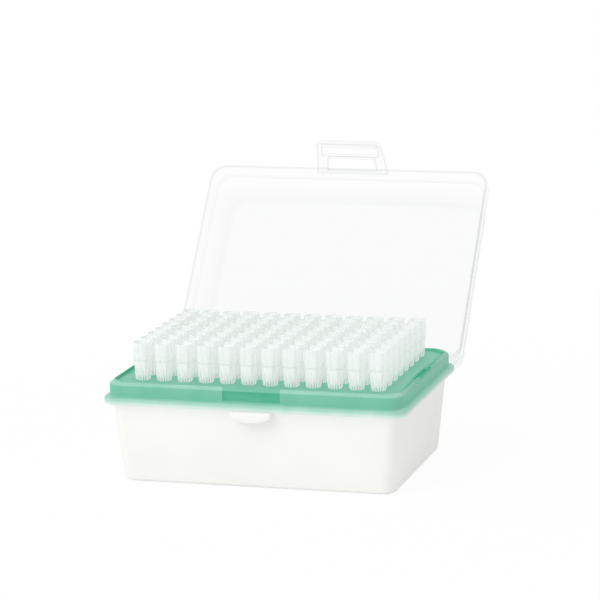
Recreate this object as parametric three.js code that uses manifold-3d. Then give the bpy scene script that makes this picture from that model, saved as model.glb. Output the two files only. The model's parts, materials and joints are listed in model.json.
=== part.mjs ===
// A hinged box of 96 pipette tips, 8 rows of 12 on a 9 mm pitch: a white base, a green deck that
// carries the tips, a clear lid and the clear latch that holds the lid shut.
// Millimetres, +Z up, front at -Y, the origin at the middle of the underside.
// It stands as it is used: the lid back against its stops, the latch sprung out.

import * as THREE from "three";
import { mergeVertices } from "three/addons/utils/BufferGeometryUtils.js";
import Module from "manifold-3d";

const wasm = await Module();
wasm.setup();

// ---- driving sizes ----

const FIT = 0.3; // running gap between neighbours
const SKIN = 1; // how far a cutter passes the face that it cuts, and a join sinks in

// the tip pattern
const COLUMNS = 12;
const ROWS = 8;
const LOOSE_ROWS = 4; // front rows whose tips are pieces of their own
const PITCH = 9;

// a tip, from its mouth down
const TIP_SIDES = 8;
const COLLAR_HEIGHT = 7.5;
const COLLAR_RADIUS = 3.65;
const COLLAR_WALL = 0.5;
const COLLAR_STEP = 0.2; // the shoulder between collar and ribbed neck
const NECK_HEIGHT = 7.7;
const NECK_TAPER = 0.5;
const SEAT_WIDTH = 0.7; // how far the ribs' feet stand out beyond the cone
const CONE_LENGTH = 34.1;
const THROAT_DEPTH = 13; // where the wide socket turns into the bore
const THROAT_RADIUS = 2;
const POINT_RADIUS = 0.5;
const POINT_BORE = 0.25;

// the deck
const HOLE_CLEARANCE = 0.4;
const FIELD_THICKNESS = 1.6;
const FIELD_DROP = 1; // the field lies this far under the rim
const EDGE_X = 10.3; // from the outer tip axes to the rim's inner line
const EDGE_Y = 10.9;
const FIELD_CORNER = 5.8; // the 45-degree cut corners of the field
const RIM_FLAT = 0.45;
const RIM_CHAMFER = 1.2;
const DECK_WALL = 2.3;
const DECK_WALL_HEIGHT = 6.3;
const FLANGE_LEDGE = 1.85;
const FLANGE_HEIGHT = 2.7;
const FLANGE_PLATE = 1.5;
const CORNER = 6.5; // of the flange, the wall above it and the lid
const POCKET_WIDTH = 24;
const POCKET_DEPTH = 2;
const POCKET_SILL = 0.8;
const SLOT_LENGTH = 19; // the slots let into the rim from above, left and right
const SLOT_WIDTH = 2.6;
const SLOT_SKIN = 0.8; // what is left of the wall outside a slot

// the base
const BASE_WALL = 1.8;
const FLOOR = 1.8;
const BASE_OVERHANG = 3.1; // from the flange's edge in to the top of the base
const BASE_DRAFT = 3.2; // each wall leans in this much from top to foot
const BASE_CORNER = 5;
const FOOT_ROUND = 1.3;
const POINT_CLEARANCE = 5.2; // free height between the floor and the tips' points
const CATCH_WIDTH = 17;
const CATCH_HEIGHT = 4.2;
const CATCH_REACH = 1.2; // beyond the flange's edge
const CATCH_CHAMFER = 0.6;

// the hinges, two snap knuckles of the lid round two pins of the base
const LID_OPEN = 129.5; // degrees from shut
const PIN_RADIUS = 1.2;
const KNUCKLE_WALL = 0.9;
const KNUCKLE_WIDTH = 12;
const KNUCKLE_MOUTH = 100; // degrees of the knuckle left open, for the pin to snap in
const KNUCKLE_FACES = -60; // the way its mouth faces when the lid is shut, degrees above +Y
const HINGE_SPACING = 76;
const EAR_THICKNESS = 3;
const STOP_LENGTH = 5; // the ramp behind each ear that the open lid leans on
const EAR_DEPTH = 9; // how far an ear's root reaches down the back wall
const HINGE_DROP = 1.1; // the pins' axis under the top of the flange

// the lid
const LID_WALL = 1.2;
const BAND_DRAFT = 0.45;
const BAND_LEDGE = 0.9; // the step in from the band to the wall above it
const LID_DRAFT = 2.2;
const LID_ROUND = 2.6;
const ROUND_FACETS = 3; // of the roof's rounded edge
const HEADROOM = 0.9; // between the tips' mouths and the roof

// the latch
const LATCH_WIDTH = 32.4; // at its root
const LATCH_TAPER = 1.7; // each side comes in this much down to the end bar
const LATCH_THICKNESS = 2;
const LATCH_BOW = 1.5;
const LATCH_CORNER = 2.5;
const UPPER_ARM = 4.8;
const LOWER_ARM = 2.2;
const MID_BAR = 1.5;
const END_BAR = 3.4;
const ROOT_BAR = 1.6;
const LATCH_OUT = 22; // degrees, as it springs when nobody presses it
const LATCH_IN = 4; // degrees past the vertical when it grips the catch

// ---- what follows from them ----

const NECK_RADIUS = COLLAR_RADIUS - COLLAR_STEP;
const CONE_RADIUS = NECK_RADIUS - NECK_TAPER - SEAT_WIDTH;
const HOLE_RADIUS = CONE_RADIUS + HOLE_CLEARANCE;

const seatZ = FLOOR + POINT_CLEARANCE + CONE_LENGTH;
const fieldZ = seatZ - FIT;
const deckTopZ = fieldZ + FIELD_DROP;
const flangeTopZ = deckTopZ - DECK_WALL_HEIGHT;
const flangeBottomZ = flangeTopZ - FLANGE_HEIGHT;
const baseTopZ = flangeTopZ - FLANGE_PLATE - FIT;
const underFlangeZ = flangeBottomZ - FIT;
const tipTopZ = seatZ + NECK_HEIGHT + COLLAR_HEIGHT;

const rimInner = [((COLUMNS - 1) * PITCH) / 2 + EDGE_X, ((ROWS - 1) * PITCH) / 2 + EDGE_Y];
const deckWall = grown(rimInner, RIM_FLAT + RIM_CHAMFER);
const flange = grown(deckWall, FLANGE_LEDGE);
const baseTop = grown(flange, -BASE_OVERHANG);

const rimZ = flangeTopZ + FIT; // the shut lid's rim
const lidHeight = tipTopZ - rimZ + HEADROOM + LID_WALL;
const innerStep = deckTopZ + FIT - rimZ; // the band reaches just past the deck's rim
const outerStep = innerStep + LID_WALL;

const KNUCKLE_RADIUS = PIN_RADIUS + FIT + KNUCKLE_WALL;
const hingeY = flange[1] + KNUCKLE_RADIUS + FIT;
const hingeZ = flangeTopZ - HINGE_DROP;
const hingeXs = [-HINGE_SPACING / 2, HINGE_SPACING / 2];

const catchY = -flange[1] - CATCH_REACH;
const catchBottomZ = underFlangeZ - CATCH_HEIGHT;
const latchZ = rimZ + innerStep;
const bandFaceY = -flange[1] + (BAND_DRAFT * innerStep) / outerStep; // where the latch's root is
const latchY = bandFaceY - FIT - LATCH_THICKNESS / 2;
const midBarDrop = latchZ - underFlangeZ - 2 * FIT; // lower edges of the bars, down the latch
const gripDrop = latchZ - catchBottomZ + FIT;
const latchLength = gripDrop + END_BAR;

const white = { color: 0xf1f1ee, roughness: 0.45 };
const green = { color: 0x4fb391, roughness: 0.4 };
const clear = { color: 0xe9eeec, roughness: 0.15, transparent: true, opacity: 0.35 };
const frosted = { color: 0xe4efe9, roughness: 0.3, transparent: true, opacity: 0.7 };

// ---- helpers ----

function grown(half, by) {
  return half.map((size) => size + by);
}

/** A closed three.js geometry as a solid that can be joined and cut. */
function solid(geometry) {
  geometry.deleteAttribute("normal");
  geometry.deleteAttribute("uv");
  const merged = mergeVertices(geometry);
  return new wasm.Manifold(
    new wasm.Mesh({
      numProp: 3,
      vertProperties: merged.attributes.position.array,
      triVerts: new Uint32Array(merged.index.array),
    }),
  );
}

/** A solid as a named mesh with its own material. */
function mesh(name, body, look) {
  const { vertProperties, triVerts } = body.getMesh();
  const indexed = new THREE.BufferGeometry();
  indexed.setAttribute("position", new THREE.BufferAttribute(vertProperties, 3));
  indexed.setIndex(new THREE.BufferAttribute(triVerts, 1));
  const geometry = indexed.toNonIndexed();
  geometry.computeVertexNormals();
  const piece = new THREE.Mesh(geometry, new THREE.MeshStandardMaterial(look));
  piece.name = name;
  return piece;
}

/** A rectangle with round corners, or with 45-degree ones where it is drawn in one step each. */
function roundedRectangle([x, y], radius) {
  const shape = new THREE.Shape();
  const corners = [[x, y], [-x, y], [-x, -y], [x, -y]];
  corners.forEach(([cx, cy], i) => {
    const centre = [cx - Math.sign(cx) * radius, cy - Math.sign(cy) * radius];
    shape.absarc(...centre, radius, (i * Math.PI) / 2, ((i + 1) * Math.PI) / 2);
  });
  return shape;
}

/** An upright block on a rounded rectangle. Its walls stand in by inset0 at z0 and inset1 at z1. */
function block(half, radius, z0, z1, inset0 = 0, inset1 = 0, curveSegments = 4) {
  const settings = { depth: z1 - z0, bevelEnabled: false, curveSegments };
  const geometry = new THREE.ExtrudeGeometry(roundedRectangle(half, radius), settings);
  const position = geometry.attributes.position;
  for (let i = 0; i < position.count; i++) {
    const inset = position.getZ(i) > 0 ? inset1 : inset0;
    position.setX(i, position.getX(i) - Math.sign(position.getX(i)) * inset);
    position.setY(i, position.getY(i) - Math.sign(position.getY(i)) * inset);
  }
  return solid(geometry.translate(0, 0, z0));
}

function box([x0, x1], [y0, y1], [z0, z1]) {
  const geometry = new THREE.BoxGeometry(x1 - x0, y1 - y0, z1 - z0);
  return solid(geometry.translate((x0 + x1) / 2, (y0 + y1) / 2, (z0 + z1) / 2));
}

/** A side profile, drawn in (Y, Z), as a bar of the given width along X. */
function barAlongX(profile, width, x = 0) {
  const settings = { depth: width, bevelEnabled: false, curveSegments: 8 };
  const geometry = new THREE.ExtrudeGeometry(profile, settings).translate(0, 0, -width / 2);
  const turn = new THREE.Matrix4().makeBasis(
    new THREE.Vector3(0, 1, 0),
    new THREE.Vector3(0, 0, 1),
    new THREE.Vector3(1, 0, 0),
  );
  return solid(geometry.applyMatrix4(turn).translate(x, 0, 0));
}

/** A front outline, drawn in (X, Z), as a plate that runs from y0 to y1. */
function plateAlongY(outline, y0, y1) {
  const settings = { depth: y1 - y0, bevelEnabled: false, curveSegments: 5 };
  const geometry = new THREE.ExtrudeGeometry(outline, settings);
  return solid(geometry.rotateX(Math.PI / 2).translate(0, y1, 0));
}

/** A solid and its twin on the other side of the box. */
function onBothSides(body) {
  return body.add(body.rotate([0, 0, 180]));
}

// ---- the tips ----

/** Where the tip of a row and column stands: row 0 in front, column 0 at the left. */
function tipPlace(row, column) {
  return [(column - (COLUMNS - 1) / 2) * PITCH, (row - (ROWS - 1) / 2) * PITCH];
}

/** A turned profile of (radius, height) points, closed on itself or on the axis, round +Z. */
function turned(points) {
  const profile = points.map(([radius, height]) => new THREE.Vector2(radius, height));
  return solid(new THREE.LatheGeometry(profile, TIP_SIDES).rotateX(Math.PI / 2));
}

/** The outside of a tip, solid, with its seat at height 0. */
function tipBody() {
  return turned([
    [0, -CONE_LENGTH],
    [POINT_RADIUS, -CONE_LENGTH],
    [CONE_RADIUS, 0],
    [CONE_RADIUS + SEAT_WIDTH, 0],
    [NECK_RADIUS, NECK_HEIGHT],
    [COLLAR_RADIUS, NECK_HEIGHT],
    [COLLAR_RADIUS, NECK_HEIGHT + COLLAR_HEIGHT],
    [0, NECK_HEIGHT + COLLAR_HEIGHT],
  ]);
}

/** The socket and the bore that run right through a tip. */
function tipBore() {
  const mouth = NECK_HEIGHT + COLLAR_HEIGHT;
  return turned([
    [0, -CONE_LENGTH - SKIN],
    [POINT_BORE, -CONE_LENGTH - SKIN],
    [POINT_BORE, -CONE_LENGTH],
    [THROAT_RADIUS, mouth - THROAT_DEPTH],
    [COLLAR_RADIUS - COLLAR_WALL, mouth],
    [COLLAR_RADIUS - COLLAR_WALL, mouth + SKIN],
    [0, mouth + SKIN],
  ]);
}

function looseTips() {
  const tip = tipBody().subtract(tipBore());
  const meshes = [];
  for (let row = 0; row < LOOSE_ROWS; row++) {
    for (let column = 0; column < COLUMNS; column++) {
      const letter = String.fromCharCode("a".charCodeAt(0) + row);
      const number = String(column + 1).padStart(2, "0");
      const piece = mesh(`tip_${letter}${number}`, tip, frosted);
      piece.position.set(...tipPlace(row, column), seatZ);
      meshes.push(piece);
    }
  }
  return meshes;
}

// ---- the deck ----

/** The deck's shell: flange, wall with its chamfered rim, sunk field, pockets and slots. */
function deckShell() {
  const chamferZ = deckTopZ - RIM_CHAMFER;
  const ceiling = fieldZ - FIELD_THICKNESS;
  const plateZ = flangeTopZ - FLANGE_PLATE;
  const rimField = block(rimInner, FIELD_CORNER, fieldZ, deckTopZ + SKIN, 0, 0, 1);
  const sillZ = flangeTopZ + POCKET_SILL;
  const pocketY = -deckWall[1] + POCKET_DEPTH;
  const pocketX = POCKET_WIDTH / 2;
  const pocket = box([-pocketX, pocketX], [pocketY - POCKET_DEPTH - SKIN, pocketY],
    [sillZ, fieldZ - FIT]);
  const pocketBack = box([-pocketX - DECK_WALL, pocketX + DECK_WALL],
    [pocketY - SKIN, pocketY + DECK_WALL], [plateZ, ceiling + SKIN / 2]);
  const slotX = deckWall[0] - SLOT_SKIN;
  const slotY = SLOT_LENGTH / 2;
  const slot = box([slotX - SLOT_WIDTH, slotX], [-slotY, slotY], [sillZ, deckTopZ + SKIN]);
  const slotBack = box([slotX - SLOT_WIDTH - DECK_WALL, slotX],
    [-slotY - DECK_WALL, slotY + DECK_WALL], [plateZ, ceiling + SKIN / 2]);
  return block(flange, CORNER, flangeBottomZ, flangeTopZ)
    .add(block(deckWall, CORNER, flangeTopZ, chamferZ))
    .add(block(deckWall, CORNER, chamferZ, deckTopZ, 0, RIM_CHAMFER))
    .subtract(block(grown(baseTop, FIT), BASE_CORNER, flangeBottomZ - SKIN, plateZ))
    .subtract(block(grown(deckWall, -DECK_WALL), CORNER, plateZ - SKIN, ceiling))
    .subtract(rimField)
    .add(onBothSides(pocketBack.add(slotBack)))
    .subtract(onBothSides(pocket.add(slot)));
}

/** The deck, with a hole for each loose tip, and the tips of the back rows made in one with it. */
function deck() {
  const hole = turned([
    [0, -FIELD_THICKNESS - SKIN],
    [HOLE_RADIUS, -FIELD_THICKNESS - SKIN],
    [HOLE_RADIUS, SKIN],
    [0, SKIN],
  ]);
  const [outside, bore] = [tipBody(), tipBore()];
  const [holes, bodies, bores] = [[], [], []];
  for (let row = 0; row < ROWS; row++) {
    for (let column = 0; column < COLUMNS; column++) {
      const place = [...tipPlace(row, column), seatZ];
      if (row < LOOSE_ROWS) {
        holes.push(hole.translate([place[0], place[1], fieldZ]));
      } else {
        bodies.push(outside.translate(place));
        bores.push(bore.translate(place));
      }
    }
  }
  return deckShell()
    .subtract(wasm.Manifold.union(holes))
    .add(wasm.Manifold.union(bodies))
    .subtract(wasm.Manifold.union(bores));
}

// ---- the base ----

/** How far the base's wall stands in from its top, at a height. */
function draftAt(z) {
  return BASE_DRAFT * (1 - z / baseTopZ);
}

/** One ear of a hinge: it holds the pin's end, and its ramp stops the open lid. */
function ear(x) {
  const open = THREE.MathUtils.degToRad(LID_OPEN);
  const rampStart = Math.PI - open; // the ramp faces the way that the lid's back wall faces
  const [rampY, rampZ] = [
    hingeY + KNUCKLE_RADIUS * Math.cos(rampStart) + STOP_LENGTH * Math.sin(rampStart),
    hingeZ + KNUCKLE_RADIUS * Math.sin(rampStart) - STOP_LENGTH * Math.cos(rampStart),
  ];
  const rootZ = underFlangeZ - EAR_DEPTH;
  const rootY = baseTop[1] - draftAt(rootZ) - BASE_WALL / 2;
  const profile = new THREE.Shape();
  profile.moveTo(rootY, rootZ);
  profile.lineTo(rampY, rampZ);
  profile.absarc(hingeY, hingeZ, KNUCKLE_RADIUS, rampStart, Math.PI);
  profile.lineTo(hingeY - KNUCKLE_RADIUS, underFlangeZ);
  profile.lineTo(rootY, underFlangeZ);
  return barAlongX(profile, EAR_THICKNESS, x);
}

/** A hinge bracket of the base: two ears and the pin between them. */
function hingeBracket(x) {
  const reach = KNUCKLE_WIDTH / 2 + FIT + EAR_THICKNESS / 2;
  const pin = new THREE.CylinderGeometry(PIN_RADIUS, PIN_RADIUS, 2 * reach, 16);
  pin.rotateZ(Math.PI / 2).translate(x, hingeY, hingeZ);
  return ear(x - reach).add(ear(x + reach)).add(solid(pin));
}

/** The catch on the front wall: flat on top, its front edge broken, its lower edge curved. */
function latchCatch() {
  const wallY = -baseTop[1] + draftAt(catchBottomZ) + BASE_WALL / 2;
  const profile = new THREE.Shape();
  profile.moveTo(wallY, underFlangeZ);
  profile.lineTo(catchY + CATCH_CHAMFER, underFlangeZ);
  profile.lineTo(catchY, underFlangeZ - CATCH_CHAMFER);
  profile.lineTo(catchY, catchBottomZ);
  profile.lineTo(wallY, catchBottomZ);
  const half = CATCH_WIDTH / 2;
  const outline = new THREE.Shape();
  outline.moveTo(-half, underFlangeZ + SKIN);
  outline.lineTo(-half, underFlangeZ - CATCH_HEIGHT / 2);
  outline.quadraticCurveTo(0, catchBottomZ - CATCH_HEIGHT / 2, half, underFlangeZ - CATCH_HEIGHT / 2);
  outline.lineTo(half, underFlangeZ + SKIN);
  return barAlongX(profile, CATCH_WIDTH)
    .intersect(plateAlongY(outline, catchY - SKIN, wallY + SKIN));
}

function base() {
  const outside = block(baseTop, BASE_CORNER, FOOT_ROUND, baseTopZ, draftAt(FOOT_ROUND), 0)
    .add(block(baseTop, BASE_CORNER, 0, FOOT_ROUND, draftAt(0) + FOOT_ROUND, draftAt(FOOT_ROUND)));
  const cavity = block(grown(baseTop, -BASE_WALL), BASE_CORNER - BASE_WALL / 2,
    FLOOR, baseTopZ + SKIN, draftAt(FLOOR), draftAt(baseTopZ + SKIN));
  return outside
    .add(latchCatch())
    .add(wasm.Manifold.union(hingeXs.map(hingeBracket)))
    .subtract(cavity);
}

// ---- the lid, drawn shut, from the hinge axis ----

/** A block whose upper edge is rounded: a quarter circle in facets, each a drafted slice. */
function roundedTop(top, inset) {
  const slices = [];
  const at = (facet) => (facet / ROUND_FACETS) * (Math.PI / 2);
  for (let facet = 0; facet < ROUND_FACETS; facet++) {
    const [low, high] = [at(facet), at(facet + 1)];
    slices.push(block(flange, CORNER,
      top - LID_ROUND * (1 - Math.sin(low)), top - LID_ROUND * (1 - Math.sin(high)),
      inset + LID_ROUND * (1 - Math.cos(low)), inset + LID_ROUND * (1 - Math.cos(high))));
  }
  return wasm.Manifold.union(slices);
}

/** The moulded shell: a band that stands round the deck, and a narrower wall with a round roof. */
function lidShell() {
  const wallIn = BAND_DRAFT + BAND_LEDGE;
  const roofIn = wallIn + LID_DRAFT;
  const shell = (wall, step, top, foot) =>
    block(flange, CORNER, foot, step, wall, wall + BAND_DRAFT)
      .add(block(flange, CORNER, step - SKIN, top - LID_ROUND, wall + wallIn, wall + roofIn))
      .add(roundedTop(top, wall + roofIn));
  return shell(0, outerStep, lidHeight, 0)
    .subtract(shell(LID_WALL, innerStep, lidHeight - LID_WALL, -SKIN))
    .translate([0, -hingeY, rimZ - hingeZ]);
}

/** A knuckle: an open ring round the pin, and the gusset that joins it to the lid's back wall. */
function knuckle(x) {
  const inner = PIN_RADIUS + FIT;
  const half = THREE.MathUtils.degToRad(180 - KNUCKLE_MOUTH / 2);
  const mouth = THREE.MathUtils.degToRad(KNUCKLE_FACES);
  const ring = new THREE.Shape();
  ring.absarc(0, 0, KNUCKLE_RADIUS, mouth + Math.PI - half, mouth + Math.PI + half);
  ring.absarc(0, 0, inner, mouth + Math.PI + half, mouth + Math.PI - half, true);
  const wallY = flange[1] - hingeY - LID_WALL / 2;
  const foot = rimZ - hingeZ;
  const middle = KNUCKLE_RADIUS - KNUCKLE_WALL / 2;
  const gusset = new THREE.Shape();
  gusset.moveTo(wallY, foot);
  gusset.lineTo(-Math.sqrt(middle ** 2 - foot ** 2), foot);
  gusset.lineTo(0, middle);
  gusset.lineTo(wallY, foot + KNUCKLE_RADIUS);
  return barAlongX(ring, KNUCKLE_WIDTH, x).add(barAlongX(gusset, KNUCKLE_WIDTH, x));
}

function lid() {
  return lidShell().add(wasm.Manifold.union(hingeXs.map(knuckle)));
}

// ---- the latch, drawn hanging straight down from its own axis ----

/** The bowed plate that the latch is cut from: an arc with its chord down from the axis. */
function latchPlate() {
  const radius = (latchLength ** 2 / 4 + LATCH_BOW ** 2) / (2 * LATCH_BOW);
  const half = Math.asin(latchLength / 2 / radius);
  const centreY = radius - LATCH_BOW;
  const arc = new THREE.Shape();
  const [start, end] = [Math.PI - half, Math.PI + half];
  arc.absarc(centreY, -latchLength / 2, radius + LATCH_THICKNESS / 2, start, end);
  arc.absarc(centreY, -latchLength / 2, radius - LATCH_THICKNESS / 2, end, start, true);
  return barAlongX(arc, LATCH_WIDTH);
}

/** The latch seen from the front: a frame that narrows to its end, with a bar across. */
function latchOutline() {
  const halfAt = (drop) => LATCH_WIDTH / 2 - (LATCH_TAPER * drop) / latchLength;
  const top = LATCH_THICKNESS;
  const straight = latchLength - LATCH_CORNER;
  const outline = new THREE.Shape();
  outline.moveTo(-halfAt(0), top);
  outline.lineTo(-halfAt(straight), -straight);
  outline.quadraticCurveTo(-halfAt(latchLength), -latchLength,
    LATCH_CORNER - halfAt(latchLength), -latchLength);
  outline.lineTo(halfAt(latchLength) - LATCH_CORNER, -latchLength);
  outline.quadraticCurveTo(halfAt(latchLength), -latchLength, halfAt(straight), -straight);
  outline.lineTo(halfAt(0), top);
  const window = (arm, from, to) => {
    const hole = new THREE.Path();
    hole.moveTo(-halfAt(from) + arm, -from);
    hole.lineTo(halfAt(from) - arm, -from);
    hole.lineTo(halfAt(to) - arm, -to);
    hole.lineTo(-halfAt(to) + arm, -to);
    outline.holes.push(hole);
  };
  window(UPPER_ARM, ROOT_BAR, midBarDrop - MID_BAR);
  window(LOWER_ARM, midBarDrop, gripDrop);
  return outline;
}

function latch() {
  const reach = LATCH_BOW + LATCH_THICKNESS;
  return latchPlate().intersect(plateAlongY(latchOutline(), -reach, reach));
}

// ---- the assembly ----

const group = new THREE.Group();
group.add(mesh("base", base(), white));
group.add(mesh("deck", deck(), green));
group.add(...looseTips());

const lidHinge = new THREE.Group();
lidHinge.position.set(0, hingeY, hingeZ);
lidHinge.rotation.x = -THREE.MathUtils.degToRad(LID_OPEN);
lidHinge.add(mesh("lid", lid(), clear));
group.add(lidHinge);

const latchHinge = new THREE.Group();
latchHinge.position.set(0, latchY - hingeY, latchZ - hingeZ);
latchHinge.rotation.x = -THREE.MathUtils.degToRad(LATCH_OUT);
latchHinge.add(mesh("latch", latch(), clear));
lidHinge.add(latchHinge);

export default group;
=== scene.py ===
# %% [markdown]
# # A hinged box of pipette tips
# A laboratory box holds 96 pipette tips, eight rows of twelve. A white tub carries a green deck,
# the tips stand in the deck, and a clear lid leans back on its hinge with a clear latch at its
# edge. The engineering model of the box is loaded first and stays as the frame. Every surface below
# is worked out on top of it, so the finished piece sits where the engineering model says.

# %% Load the frame
import json
import math

import bpy
import numpy as np
from mathutils import Matrix, Vector


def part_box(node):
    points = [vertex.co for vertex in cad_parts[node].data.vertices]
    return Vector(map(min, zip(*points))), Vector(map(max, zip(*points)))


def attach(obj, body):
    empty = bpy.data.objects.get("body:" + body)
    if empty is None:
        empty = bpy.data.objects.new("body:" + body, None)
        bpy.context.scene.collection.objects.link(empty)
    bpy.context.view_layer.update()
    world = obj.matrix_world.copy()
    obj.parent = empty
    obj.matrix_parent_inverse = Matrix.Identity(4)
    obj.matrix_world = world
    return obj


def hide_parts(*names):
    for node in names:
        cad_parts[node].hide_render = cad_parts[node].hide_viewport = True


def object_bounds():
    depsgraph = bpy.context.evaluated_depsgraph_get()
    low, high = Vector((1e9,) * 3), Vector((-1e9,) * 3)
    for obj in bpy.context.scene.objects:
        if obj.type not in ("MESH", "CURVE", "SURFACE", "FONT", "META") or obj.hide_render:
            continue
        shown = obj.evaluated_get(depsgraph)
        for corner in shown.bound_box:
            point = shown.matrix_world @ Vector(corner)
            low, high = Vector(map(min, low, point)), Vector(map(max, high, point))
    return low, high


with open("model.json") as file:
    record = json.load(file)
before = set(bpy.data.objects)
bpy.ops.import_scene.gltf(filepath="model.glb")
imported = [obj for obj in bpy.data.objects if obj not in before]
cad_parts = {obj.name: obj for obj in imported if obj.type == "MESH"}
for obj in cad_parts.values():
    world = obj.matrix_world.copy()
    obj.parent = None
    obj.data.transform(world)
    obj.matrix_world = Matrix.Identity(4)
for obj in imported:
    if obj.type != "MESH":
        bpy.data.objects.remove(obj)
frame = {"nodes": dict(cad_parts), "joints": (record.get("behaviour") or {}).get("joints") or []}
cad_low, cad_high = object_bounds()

MM = 0.001
print("frame", [round(1000 * side, 1) for side in cad_high - cad_low], "mm")

# %% [markdown]
# ## The camera
# A long lens from a little over a metre away keeps the sides of the box nearly parallel, as product
# pictures do. The camera circles to the right, looks slightly down and is rolled by about a degree.
# Its position is the target point plus the distance along the line of sight.

# %% Camera
AZIMUTH, ELEVATION, ROLL = map(math.radians, (16.344, 11.561, -1.12))
TARGET = Vector((8.315, 0.0, 69.424)) * MM
DISTANCE = 1239.2 * MM
LENS, SENSOR_WIDTH = 181.62, 36.0  # both in millimetres
FARTHEST_SEEN = 50.0  # in metres
back = Vector((
    math.cos(ELEVATION) * math.sin(AZIMUTH),
    -math.cos(ELEVATION) * math.cos(AZIMUTH),
    math.sin(ELEVATION),
))
right = Vector((math.cos(AZIMUTH), math.sin(AZIMUTH), 0.0))
up = back.cross(right)
rolled_right = math.cos(ROLL) * right + math.sin(ROLL) * up
rolled_up = math.cos(ROLL) * up - math.sin(ROLL) * right
camera = bpy.data.objects.new("camera", bpy.data.cameras.new("camera"))
camera.data.sensor_width = SENSOR_WIDTH
camera.data.lens = LENS
camera.data.clip_end = FARTHEST_SEEN
turned = Matrix((rolled_right, rolled_up, back)).transposed().to_4x4()
camera.matrix_world = Matrix.Translation(TARGET + back * DISTANCE) @ turned
bpy.context.scene.collection.objects.link(camera)
bpy.context.scene.camera = camera
bpy.context.scene.view_settings.view_transform = "Standard"
print("camera at", [round(1000 * c) for c in camera.location], "mm")

# %% [markdown]
# ## Sizes
# The outside sizes are read from the engineering model, so the pieces follow it. The sizes under
# them are wall thicknesses, ledges and heights of the mouldings, in millimetres.

# %% Sizes from the frame


def box_of(node):
    """The lowest and highest corner of an engineering solid, in millimetres."""
    return tuple(np.array(corner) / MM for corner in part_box(node))


tip_low, tip_high = box_of("tip_a01")
flange_half = box_of("deck")[1][:2]
tip_pitch = box_of("tip_a02")[0][0] - tip_low[0]
first_tip = (tip_low + tip_high)[:2] / 2
tip_top, tip_point = tip_high[2], tip_low[2]
joint_at = {j["name"]: np.array(j["pos_m"]) / MM for j in frame["joints"]}
lid_open = math.radians(frame["joints"][0]["range_deg"][1])
COLUMNS = round(-2 * first_tip[0] / tip_pitch) + 1
ROWS = round(-2 * first_tip[1] / tip_pitch) + 1
print(ROWS, "rows of", COLUMNS, "tips,", round(tip_pitch, 2), "mm apart")

# %% Heights of the mouldings
COLLAR_AND_NECK = 15.2
FIT = 0.3  # the gap between two pieces that fit together
FIELD_SUNK, WALL_HEIGHT = 1.0, 6.3  # the field under the rim, and the rim over the flange
FLANGE_HEIGHT, FLANGE_SKIN = 2.7, 1.5  # the flange outside, and its skin over the channel
seat_z = tip_top - COLLAR_AND_NECK
field_z = seat_z - FIT
rim_z = field_z + FIELD_SUNK
flange_top = rim_z - WALL_HEIGHT
flange_foot = flange_top - FLANGE_HEIGHT
base_rim = flange_top - FLANGE_SKIN - FIT
under_flange = flange_foot - FIT
print("field", round(field_z, 2), "rim", round(rim_z, 2), "tub rim", round(base_rim, 2))

# %% [markdown]
# ## Surfaces as grids
# A moulded wall is a profile carried round a closed outline. That gives a grid of points, one row
# for each point of the profile and one column for each point of the outline. Whole rows are worked
# out at once with numpy, and the faces are plain quads between neighbouring rows.

# %% Profiles, outlines and faces


def soften(corners, steps=4):
    """A profile of (inset, height, radius) corners with its corners rounded.

    Each corner becomes the parabola that starts and ends one radius from it along its two edges:
    (1 - t)^2 * start + 2 t (1 - t) * corner + t^2 * end.
    """
    corners = np.array(corners, float)
    points, radii = corners[:, :2], corners[:, 2]
    t = np.linspace(0.0, 1.0, steps + 1)[:, None]
    profile = [points[:1]]
    for before, corner, after, radius in zip(points, points[1:], points[2:], radii[1:]):
        start = corner + radius * (before - corner) / np.linalg.norm(before - corner)
        end = corner + radius * (after - corner) / np.linalg.norm(after - corner)
        profile.append((1 - t) ** 2 * start + 2 * t * (1 - t) * corner + t**2 * end)
    return np.vstack(profile + [points[-1:]])


def outline(half, corner, x_stations, y_stations, turns=8, cut=False):
    """A loop round a rectangle, anticlockwise from its right side.

    A side is its stations at the half size. A corner is a quarter circle, radius * (cos a, sin a)
    about a point one radius in, or with cut a straight line between the ends of that quarter.
    """
    angle = np.linspace(0.0, np.pi / 2, turns + 1)
    share = angle / (np.pi / 2)
    arc = np.stack([1 - share, share] if cut else [np.cos(angle), np.sin(angle)], 1)
    loop = []
    for quarter in range(4):
        reach, width = half if quarter % 2 == 0 else half[::-1]
        stations = y_stations if quarter % 2 == 0 else x_stations
        side = np.stack([np.full(len(stations), reach), stations], 1)
        bend = np.array([reach - corner, width - corner]) + corner * arc
        points = np.vstack([side, bend])
        for _ in range(quarter):
            points = np.stack([-points[:, 1], points[:, 0]], 1)
        loop.append(points)
    return np.vstack(loop)


def carried(profile, half, corner, x_stations, y_stations):
    """The grid of a profile of (inset, height) points carried round a rounded rectangle.

    Row i is the outline of the rectangle made smaller by inset i, at height i. The corners keep
    one radius in every row.
    """
    rows = []
    for inset, height in profile:
        loop = outline(half - inset, corner, x_stations, y_stations)
        rows.append(np.column_stack([loop, np.full(len(loop), height)]))
    return np.stack(rows)


def quads(rows, columns, closed_rows=False):
    """The quads between neighbouring rows of a grid whose columns close on themselves."""
    row = np.arange(rows if closed_rows else rows - 1)[:, None]
    column = np.arange(columns)[None, :]
    up, along = (row + 1) % rows, (column + 1) % columns
    corners = [row * columns + column, row * columns + along, up * columns + along,
               up * columns + column]
    return np.stack(np.broadcast_arrays(*corners), -1).reshape(-1, 4)


def shell(grid):
    """A closed surface from a grid: its quads, and a flat end face on its first and last row."""
    rows, columns = grid.shape[:2]
    ends = [np.arange(columns)[None, ::-1], (rows - 1) * columns + np.arange(columns)[None]]
    return grid.reshape(-1, 3), [quads(rows, columns), *ends]


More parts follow.
